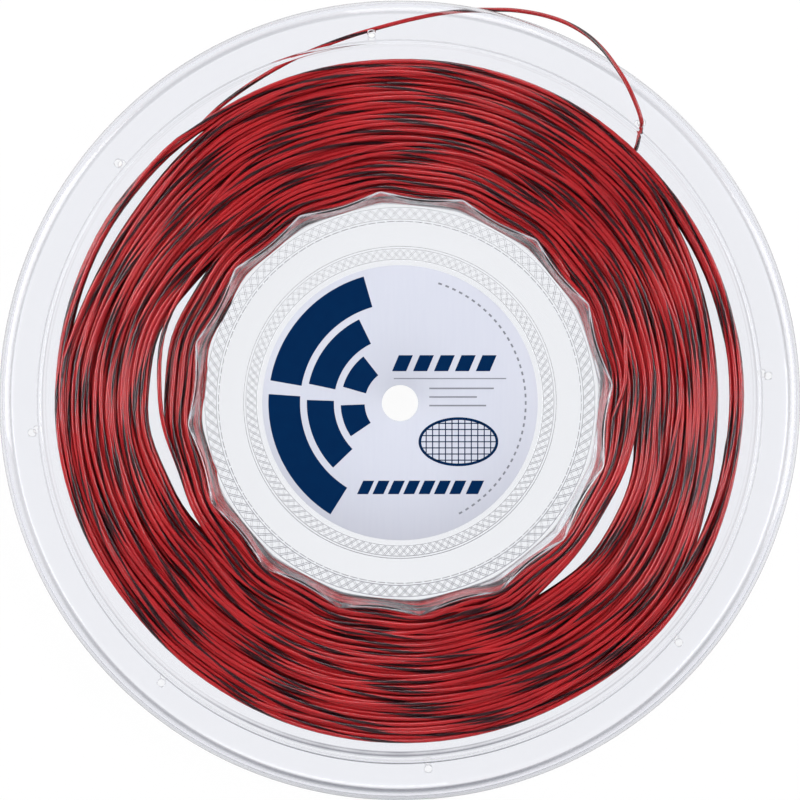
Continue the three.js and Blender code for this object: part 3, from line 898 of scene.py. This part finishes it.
def satin_paper():
    """Pale grey film with a fine brushed grain and a soft sheen."""
    material, tree = new_material("silver_label")
    grain = mottle_node(tree, stretch=(900.0, 60.0, 1.0), detail=2.0)
    shade = mix_colour(tree, grain, *PAPER)
    finish = {"Base Color": shade, "Roughness": 0.42, "Specular IOR Level": 0.3}
    surface(tree, add_node(tree, "BsdfPrincipled", finish))
    return material


def label_disc(name, segments, soften, material):
    """A rectangle of radius and height with softened upper corners, carried round the axis."""
    inner, outer = SPINDLE_R, LABEL_R
    low, high = LABEL_H
    left = [(inner, low), (inner, high - soften), (inner + soften, high)]
    right = [(outer - soften, high), (outer, high - soften), (outer, low)]
    profile = np.array(left + right)
    angle = np.linspace(0.0, FULL_TURN, segments, endpoint=False)
    points = round_points(profile[:, 0], angle[:, None], profile[:, 1])
    return grid_piece(name, points, material, wrap=True, close=True)


label = label_disc("satin_label", 360, 0.05 * MM, satin_paper())
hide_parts("hub_label")

PRINT_T = 0.03 * MM
NAVY = ((0.0002, 0.0150, 0.066, 1.0), (0.0003, 0.0205, 0.080, 1.0))
INK_GREY = ((0.20, 0.21, 0.25, 1.0), (0.26, 0.27, 0.31, 1.0))


def ink_material(name, dark, light, roughness):
    """Printed ink: a slow mottle between two shades of one colour, under a satin film."""
    material, tree = new_material(name)
    mottle = mottle_node(tree, stretch=(260.0, 260.0, 260.0), detail=3.0)
    shade = mix_colour(tree, mottle, dark, light)
    finish = {"Base Color": shade, "Roughness": roughness, "Specular IOR Level": 0.06}
    surface(tree, add_node(tree, "BsdfPrincipled", finish))
    return material


def arc_patch(inner, outer, first, last):
    """The two edges of an arc-shaped patch, from its first to its last degree."""
    angle = np.radians(np.linspace(first, last, max(2, int(abs(last - first)) + 2)))
    round_it = np.stack([np.cos(angle), np.sin(angle)], axis=-1)
    return inner * MM * round_it, outer * MM * round_it


def bar_patch(start, stop, width, slant=0.0):
    """The two edges of a straight bar; slant leans its ends along it."""
    start, stop = np.array(start, float) * MM, np.array(stop, float) * MM
    along = (stop - start) / np.linalg.norm(stop - start)
    across = np.array([-along[1], along[0]]) * width * MM / 2
    lean = along * slant * MM / 2
    one_edge = np.array([start, stop]) + across + lean
    return one_edge, np.array([start, stop]) - across - lean


def printed(name, patches, material):
    """Flat closed patches of ink on the label, each given by its two edges: four corners of a
    thin section are carried along them, and its two ends are shut."""
    points, dropped, ends = [], [], []
    count = 0
    low = WELD_PLANE + LABEL_H[1] - 0.01 * MM
    for left, right in patches:
        n = len(left)
        corners = [(left, low), (left, low + PRINT_T), (right, low + PRINT_T), (right, low)]
        corners = [np.column_stack([edge, np.full(n, z)]) for edge, z in corners]
        points.append(np.stack(corners, axis=1))
        dropped.append(np.arange(n) == n - 1)
        first, last = 4 * count, 4 * (count + n - 1)
        ends.append([first, first + 3, first + 2, first + 1])
        ends.append([last, last + 1, last + 2, last + 3])
        count += n
    points = np.concatenate(points)
    dropped = np.repeat(np.concatenate(dropped)[:, None], 4, axis=1)
    caps = [np.array(ends).reshape(-1, 4)]
    piece = grid_piece(name, points, material, close=True, dropped=dropped, extra=caps, flat=True)


# The design, in degrees and in millimetres from the axis: three pairs of arcs like a fan on the
# left, two rows of slanted bars, and a racket's head, an oval frame with its strings.
navy = [
    arc_patch(inner, outer, first, last)
    for inner, outer, first, last in [
        (32.5, 42.8, 106, 170),
        (32.5, 42.8, 176, 238),
        (21.5, 30.3, 116, 168),
        (21.5, 30.3, 178, 224),
        (11.5, 19.3, 128, 164),
        (11.5, 19.3, 182, 214),
    ]
]
upper_bars = -1.5 + 6.8 * np.arange(5)
lower_bars = -13.0 + 5.0 * np.arange(7)
navy += [bar_patch((x, 13.0), (x + 4.6, 13.0), 5.2, slant=2.2) for x in upper_bars]
navy += [bar_patch((x, -27.5), (x + 3.6, -27.5), 4.4, slant=2.0) for x in lower_bars]
navy += [bar_patch((22.4, -27.5), (26.4, -27.5), 4.4, slant=2.0)]
HEAD_MIDDLE = np.array([19.0, -12.6])
HEAD_HALF = np.array([12.6, 7.6])
turn_round = np.linspace(0.0, FULL_TURN, 73)
oval = np.stack([np.cos(turn_round), np.sin(turn_round)], axis=-1)
navy.append([(HEAD_MIDDLE + oval * (HEAD_HALF + away)) * MM for away in (-0.5, 0.4)])
for cross in np.arange(-10.5, 10.6, 2.1):
    reach = HEAD_HALF[1] * math.sqrt(1.0 - (cross / HEAD_HALF[0]) ** 2)
    x = HEAD_MIDDLE[0] + cross
    navy.append(bar_patch((x, HEAD_MIDDLE[1] - reach), (x, HEAD_MIDDLE[1] + reach), 0.35))
for cross in np.arange(-6.0, 6.1, 2.0):
    reach = HEAD_HALF[0] * math.sqrt(1.0 - (cross / HEAD_HALF[1]) ** 2)
    y = HEAD_MIDDLE[1] + cross
    navy.append(bar_patch((HEAD_MIDDLE[0] - reach, y), (HEAD_MIDDLE[0] + reach, y), 0.35))

# A dashed arc at the disc's edge and four thin rules.
grey = [arc_patch(40.6, 41.2, a, a + 1.7) for a in np.arange(-62.0, 74.0, 3.4)]
grey += [bar_patch((-2.0, 8.0), (34.5, 8.0), 0.35), bar_patch((9.5, 4.8), (30.5, 4.8), 0.5)]
grey += [bar_patch((9.5, 2.0), (25.0, 2.0), 0.5), bar_patch((9.5, -0.8), (28.0, -0.8), 0.5)]
printed("label_navy_print", navy, ink_material("navy_ink", *NAVY, 0.38))
printed("label_grey_print", grey, ink_material("grey_ink", *INK_GREY, 0.45))

# ---- the studio ------------------------------------------------------------------------------
# A white floor under three soft lamps and a pale room. The camera looks down at the label from
# almost straight above, and its picture is as wide as the reel.
CAMERA_ELEVATION = math.radians(86.5)
CAMERA_HEADING = math.radians(98.0)
CAMERA_LENS = 131.3
SENSOR = 36.0
FRAME_WIDTH = 260.55 * MM  # what the picture spans at the weld plane
FLOOR_WHITE = (0.93, 0.93, 0.93, 1.0)
FLOOR_GLOW = 0.95  # the share of the floor's white that is its own


def studio_floor():
    """Mostly white of its own to the camera and in glass and gloss; for the rest a plain matt
    white, which keeps the reel's shadow."""
    material, tree = new_material("studio_white")
    matt = add_node(tree, "BsdfDiffuse", {"Color": FLOOR_WHITE}).outputs[0]
    bright = add_node(tree, "Emission").outputs[0]
    path = add_node(tree, "LightPath").outputs
    direct = path["Is Camera Ray"]
    for kind in ("Is Glossy Ray", "Is Transmission Ray"):
        direct = math_node(tree, "MAXIMUM", direct, path[kind])
    share = math_node(tree, "MULTIPLY", direct, FLOOR_GLOW)
    surface(tree, add_node(tree, "MixShader", {0: share, 1: matt, 2: bright}))
    return material


FLOOR_REACH = 3.0
FLOOR_LEVEL = -0.0003  # just under the reel, so that their faces don't meet
floor_mesh = bpy.data.meshes.new("studio_floor")
signs = ((-1, -1), (1, -1), (1, 1), (-1, 1))
corners = [(x * FLOOR_REACH, y * FLOOR_REACH, FLOOR_LEVEL) for x, y in signs]
floor_mesh.from_pydata(corners, [], [(0, 1, 2, 3)])
floor_mesh.materials.append(studio_floor())
floor = bpy.data.objects.new("studio_floor", floor_mesh)
scene.collection.objects.link(floor)

camera_data = bpy.data.cameras.new("camera")
camera_data.lens = CAMERA_LENS
camera_data.sensor_width = SENSOR
camera_data.shift_y = 0.0036  # keeps the nearly round rim in the middle of the picture
camera = bpy.data.objects.new("camera", camera_data)
scene.collection.objects.link(camera)
scene.camera = camera
distance = FRAME_WIDTH * CAMERA_LENS / SENSOR
level = math.cos(CAMERA_ELEVATION) * np.array([math.cos(CAMERA_HEADING), math.sin(CAMERA_HEADING)])
direction = np.append(level, math.sin(CAMERA_ELEVATION))
camera.location = direction * distance + np.array([0, 0, WELD_PLANE])
forward = -direction
right = np.cross(forward, (0.0, 1.0, 0.0))
right /= np.linalg.norm(right)
over = np.cross(right, forward)
turned = np.stack([right, over, -forward], axis=1)


def to_euler(axes):
    """The XYZ angles of a rotation whose three axes are the columns of a matrix."""
    return (
        math.atan2(axes[2, 1], axes[2, 2]),
        math.atan2(-axes[2, 0], math.hypot(axes[2, 1], axes[2, 2])),
        math.atan2(axes[1, 0], axes[0, 0]),
    )


camera.rotation_euler = to_euler(turned)


def soft_box(name, place, size, power):
    """A square lamp at a place, turned towards the reel."""
    data = bpy.data.lights.new(name, "AREA")
    data.shape = "SQUARE"
    data.size = size
    data.energy = power
    lamp = bpy.data.objects.new(name, data)
    lamp.location = place
    away = np.array(place) / np.linalg.norm(place)
    across_lamp = np.cross((0.0, 1.0, 0.0), away)
    across_lamp /= np.linalg.norm(across_lamp)
    axes = np.stack([across_lamp, np.cross(away, across_lamp), away], axis=1)
    lamp.rotation_euler = to_euler(axes)
    scene.collection.objects.link(lamp)


soft_box("key", (-1.12, 0.28, 0.95), 1.0, 13.5)
soft_box("fill", (1.10, 0.05, 0.85), 0.95, 10.5)
soft_box("rim", (0.20, 1.05, 0.95), 0.7, 4.5)

# The room's white by height, from its horizon at 0 to straight overhead at 1.
ROOM_STOPS = [(0.0, 1.0), (0.12, 0.92), (0.3, 0.34), (0.6, 0.34), (0.76, 0.66), (0.87, 0.66)]
ROOM_STOPS += [(0.94, 0.05), (1.0, 0.01)]
world = bpy.data.worlds.new("studio")
world.use_nodes = True
scene.world = world
sky = world.node_tree
sky.nodes.clear()
towards = add_node(sky, "TexCoord").outputs["Generated"]
_, _, room_height = add_node(sky, "SeparateXYZ", {0: towards}).outputs
ramp = add_node(sky, "ValToRGB", {0: room_height})
ramp.color_ramp.interpolation = "EASE"
elements = ramp.color_ramp.elements
while len(elements) < len(ROOM_STOPS):
    elements.new(0.5)
for element, (at, level) in zip(elements, ROOM_STOPS):
    element.position = at
    element.color = (level, level, level * 1.01, 1.0)
glow = add_node(sky, "Background", {"Color": ramp.outputs[0], "Strength": 1.0})
add_node(sky, "OutputWorld", {"Surface": glow.outputs[0]})
scene.view_settings.view_transform = "Standard"
